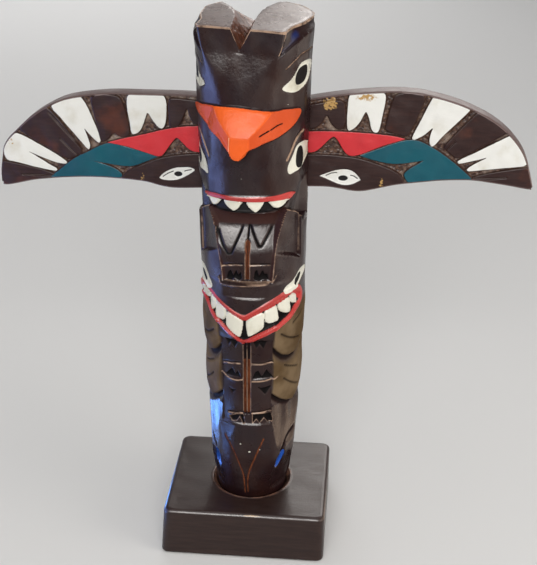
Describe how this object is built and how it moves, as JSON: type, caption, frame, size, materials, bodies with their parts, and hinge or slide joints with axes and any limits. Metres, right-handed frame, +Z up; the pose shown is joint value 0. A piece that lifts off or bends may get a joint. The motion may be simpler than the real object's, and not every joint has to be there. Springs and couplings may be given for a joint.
{
  "type": "totem pole figure",
  "caption": "Carved and painted wooden totem pole with stacked bird and animal heads, a pair of spread wing boards and a rectangular block base.",
  "frame": {"origin": "on the pole's axis at the underside of the base, within 1 mm of the base's middle", "axes": "+Z up the pole, front faces -Y, +X towards the wing that rises outwards"},
  "size_m": [0.2833, 0.0786, 0.3],
  "materials": {
    "base": "dark brown stain with a satin sheen, worn pale along the edges",
    "pole": "glossy dark brown paint with orange, red, white and blue details; raw wood in the deepest cuts",
    "wing_left": "satin paint in dark brown, white, red and teal on rough raw brown ground",
    "wing_right": "satin paint in dark brown, white, red and teal on rough raw brown ground"
  },
  "bodies": {
    "root": {"base": "base", "pole": "pole", "wing_left": "wing_left", "wing_right": "wing_right"}
  },
  "joints": []
}
